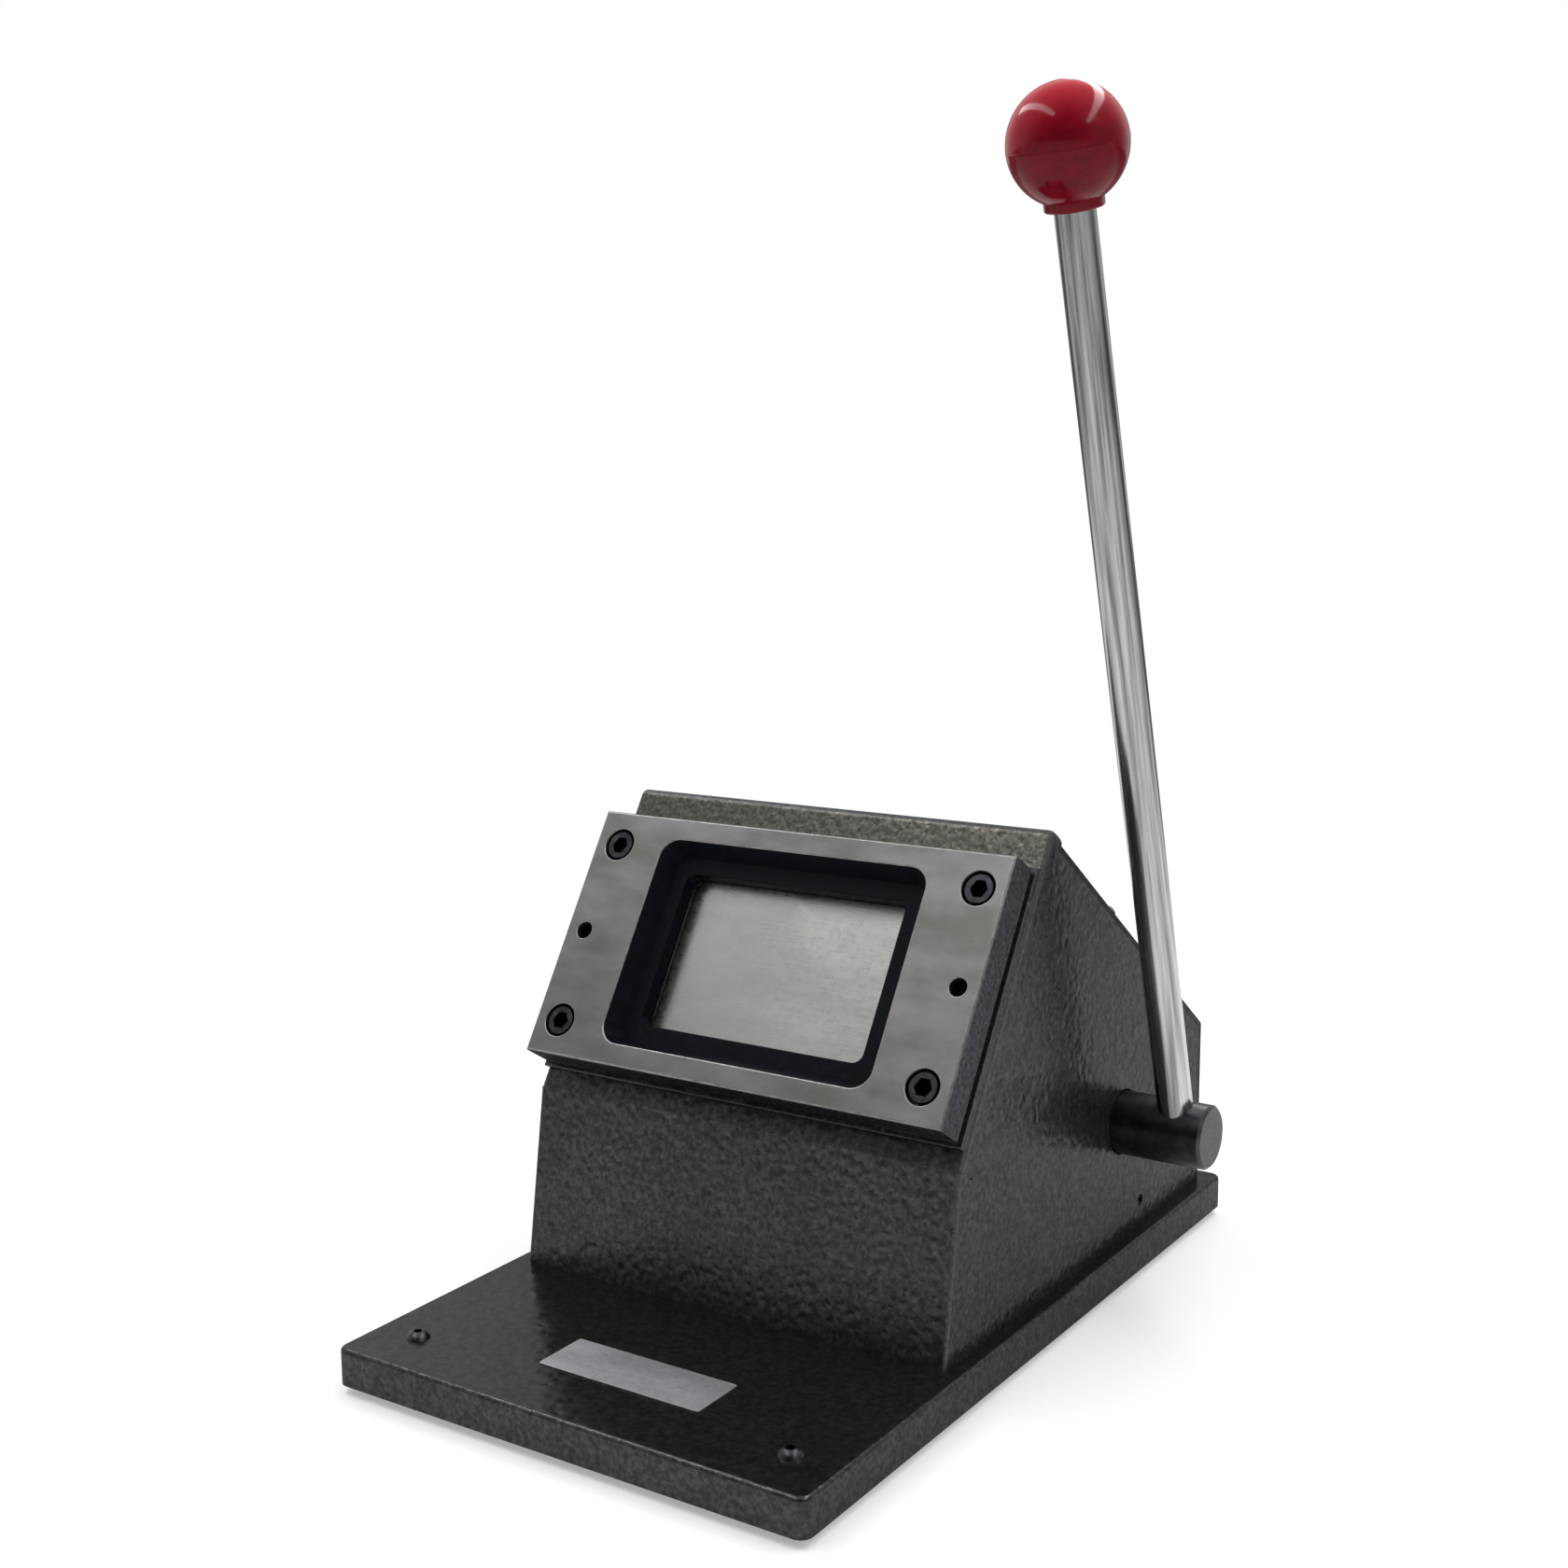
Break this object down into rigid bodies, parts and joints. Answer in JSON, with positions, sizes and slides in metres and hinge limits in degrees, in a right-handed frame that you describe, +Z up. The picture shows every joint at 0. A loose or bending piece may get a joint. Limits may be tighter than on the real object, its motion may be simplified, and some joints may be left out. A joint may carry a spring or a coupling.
{
  "type": "hand-lever card cutter",
  "caption": "Hand-lever die cutter: a slanted die plate with a card-shaped window on a wedge housing and base, worked by a ball-knob lever through an eccentric and a sprung punch.",
  "frame": {"origin": "under the middle of the base plate, in the plane that the rubber feet stand on", "axes": "+Z up, -Y to the front where the die plate faces, +X to the lever's side"},
  "size_m": [0.2155, 0.288, 0.3876],
  "materials": {
    "enamel": "hammered dark grey enamel, half gloss",
    "rubber": "matt black rubber",
    "label_metal": "satin, bare",
    "plain_screw": "zinc, dulled",
    "black_screw": "black oxide",
    "ground_steel": "ground, satin",
    "pin_steel": "ground and hardened",
    "machined_steel": "milled and turned",
    "dark_shaft": "turned, darkened",
    "tool_steel": "ground tool steel",
    "spring_steel": "drawn wire, oiled",
    "bronze": "turned bronze",
    "bright_steel": "bright drawn",
    "red_plastic": "moulded, glossy dark red"
  },
  "bodies": {
    "frame": {"base_plate": "enamel", "left_side_plate": "enamel", "right_side_plate": "enamel", "front_panel": "enamel", "rear_cover": "enamel", "mount_plate": "enamel", "left_rail": "enamel", "right_rail": "enamel", "left_bearing_block": "enamel", "right_bearing_block": "enamel", "stop_bracket": "enamel", "rubber_feet": "rubber", "label_plate": "label_metal", "foot_screws": "black_screw", "foot_nuts": "plain_screw", "cover_screws": "plain_screw", "base_bolts": "black_screw", "rail_screws": "black_screw", "die_screws": "black_screw", "stop_screws": "black_screw", "die_plate": "ground_steel", "guide_plate": "ground_steel", "left_spacer": "ground_steel", "right_spacer": "ground_steel", "dowel_pins": "pin_steel", "guide_pillars": "pin_steel", "pillar_rings": "machined_steel", "return_springs": "spring_steel", "left_bearing_bush": "bronze", "right_bearing_bush": "bronze"},
    "lever": {"cross_shaft": "dark_shaft", "lever_rod": "bright_steel", "lever_screw": "black_screw", "knob": "red_plastic", "knob_insert": "bronze", "eccentric_cam": "machined_steel", "cam_key": "pin_steel", "cam_screw": "black_screw", "stop_pin": "pin_steel", "shaft_collars": "machined_steel", "collar_screws": "black_screw"},
    "ram": {"punch": "tool_steel", "punch_holder": "machined_steel", "punch_screws": "black_screw", "pillar_bushes": "bronze", "ram_yoke": "machined_steel", "yoke_screws": "black_screw", "roller_pin": "pin_steel", "pin_clips": "spring_steel"},
    "roller": {"roller": "pin_steel"}
  },
  "joints": [
    {"name": "lever_pull", "type": "hinge", "parent": "frame", "child": "lever", "pos_m": [0, 0.06603, 0.057], "axis": [1, 0, 0], "range_deg": [0, 70]},
    {"name": "punch_slide", "type": "slide", "parent": "frame", "child": "ram", "axis": [0, -0.8434, 0.5373], "range_m": [0, 0.00605], "stiffness_N_per_m": 7000, "springref_m": -0.012, "deforming": ["return_springs"]},
    {"name": "roller_spin", "type": "hinge", "parent": "ram", "child": "roller", "pos_m": [0, 0.03901, 0.07421], "axis": [1, 0, 0], "continuous": true}
  ],
  "couplings": [
    {"joint": "punch_slide", "follows": "lever_pull", "m_per_rad": 0.0049111}
  ]
}
